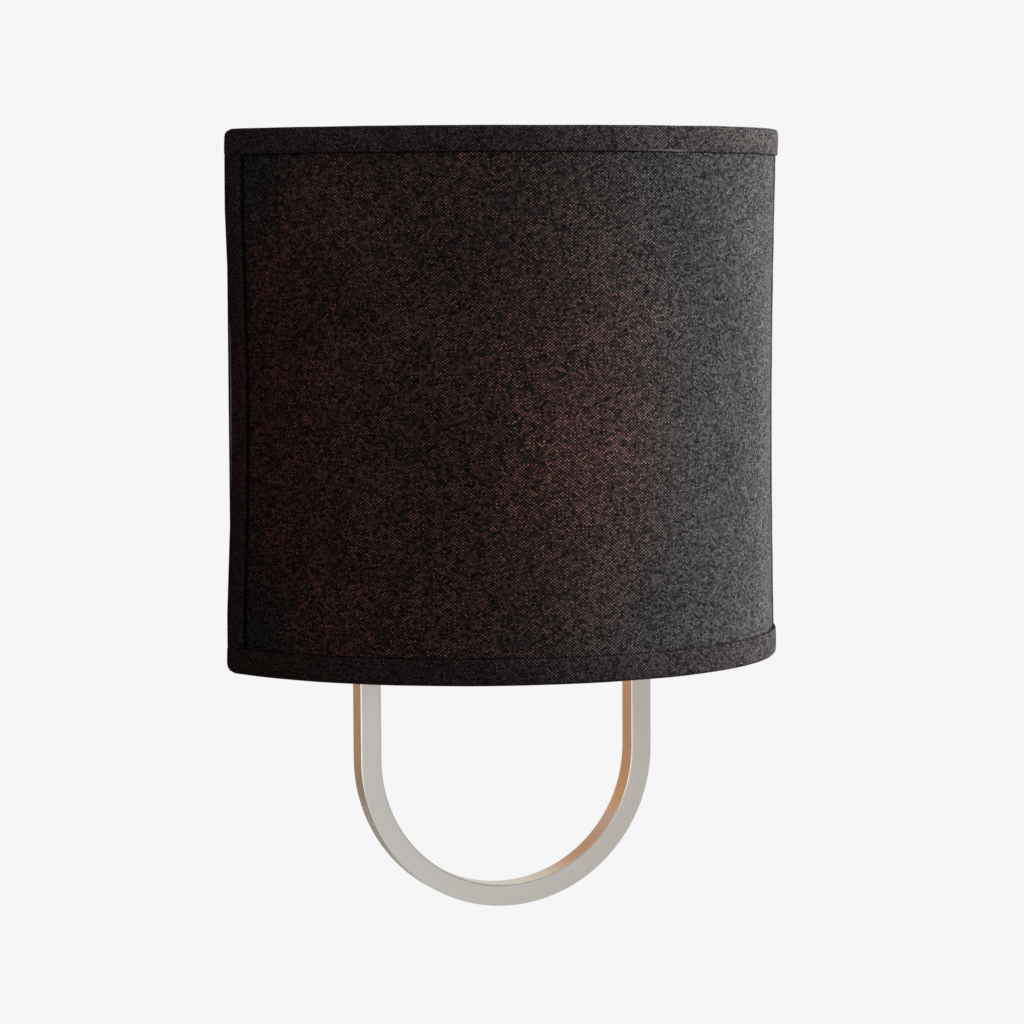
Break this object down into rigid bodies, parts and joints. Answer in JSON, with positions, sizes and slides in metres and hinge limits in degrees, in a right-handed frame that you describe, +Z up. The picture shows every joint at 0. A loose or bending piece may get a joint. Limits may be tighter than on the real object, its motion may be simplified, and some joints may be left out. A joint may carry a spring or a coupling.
{
  "type": "wall light with half-drum fabric shade",
  "caption": "Half-drum charcoal linen wall light with folded trims, hung on a shallow back pan, and a brushed U-shaped bar looping below it.",
  "frame": {"origin": "middle of the mounting strap's two slots, on the wall plane", "axes": "+Z up, -Y out of the wall towards the room, +X to the right for someone facing the light"},
  "size_m": [0.254, 0.1069, 0.3417],
  "materials": {
    "brushed_nickel": "brushed nickel plate, satin",
    "pan_finish": "satin nickel plate over drawn steel",
    "zinc_steel": "bright zinc plate",
    "strap_steel": "zinc-plated sheet, dull",
    "ground_green": "green dyed zinc",
    "nickel_nut": "turned, satin nickel plate",
    "shade_linen": "charcoal plain-weave linen",
    "liner_film": "white styrene film, matte",
    "white_wire": "white powder coat",
    "white_steel": "white powder coat",
    "trim_linen": "charcoal linen tape, folded",
    "socket_moulding": "moulded phenolic, semi-gloss",
    "socket_brass": "bright drawn brass",
    "frosted_glass": "soft white inner coat",
    "bulb_aluminium": "rolled, bright",
    "dark_insulator": "dark glass seal",
    "solder": "dull solder",
    "black_lead": "insulated wire",
    "white_lead": "insulated wire",
    "green_lead": "insulated wire",
    "bushing_plastic": "moulded nylon",
    "connector_plastic": "moulded, matte",
    "ground_connector_plastic": "moulded, matte"
  },
  "bodies": {
    "fixture": {"u_bar": "brushed_nickel", "bar_screws": "zinc_steel", "back_pan": "pan_finish", "mounting_strap": "strap_steel", "pan_screws": "zinc_steel", "ground_screw": "ground_green", "hook_studs": "zinc_steel", "nut_studs": "zinc_steel", "socket_bracket": "strap_steel", "bracket_screws": "zinc_steel", "socket_body": "socket_moulding", "socket_shell": "socket_brass", "socket_contact": "socket_brass", "socket_nipple": "zinc_steel", "lock_washer": "zinc_steel", "lock_nut": "zinc_steel", "hot_lead": "black_lead", "neutral_lead": "white_lead", "ground_lead": "green_lead", "lead_bushing": "bushing_plastic", "hot_connector": "connector_plastic", "neutral_connector": "connector_plastic", "ground_connector": "ground_connector_plastic"},
    "shade": {"shade_fabric": "shade_linen", "shade_liner": "liner_film", "top_ring": "white_wire", "bottom_ring": "white_wire", "top_trim": "trim_linen", "bottom_trim": "trim_linen", "left_trim": "trim_linen", "right_trim": "trim_linen", "left_hanger": "white_steel", "right_hanger": "white_steel"},
    "bulb": {"bulb_glass": "frosted_glass", "bulb_cap": "bulb_aluminium", "bulb_insulator": "dark_insulator", "bulb_tip": "solder"},
    "left_nut": {"thumb_nut_left": "nickel_nut"},
    "right_nut": {"thumb_nut_right": "nickel_nut"}
  },
  "joints": [
    {"name": "shade_lift", "type": "slide", "parent": "fixture", "child": "shade", "axis": [0, 0, 1], "range_m": [0, 0.012]},
    {"name": "bulb_turn", "type": "hinge", "parent": "fixture", "child": "bulb", "pos_m": [0, -0.058, -0.073], "axis": [0, 0, 1], "continuous": true},
    {"name": "left_nut_turn", "type": "hinge", "parent": "fixture", "child": "left_nut", "pos_m": [-0.038, -0.0175, -0.064], "axis": [0, -1, 0], "continuous": true},
    {"name": "right_nut_turn", "type": "hinge", "parent": "fixture", "child": "right_nut", "pos_m": [0.038, -0.0175, -0.064], "axis": [0, -1, 0], "continuous": true}
  ]
}
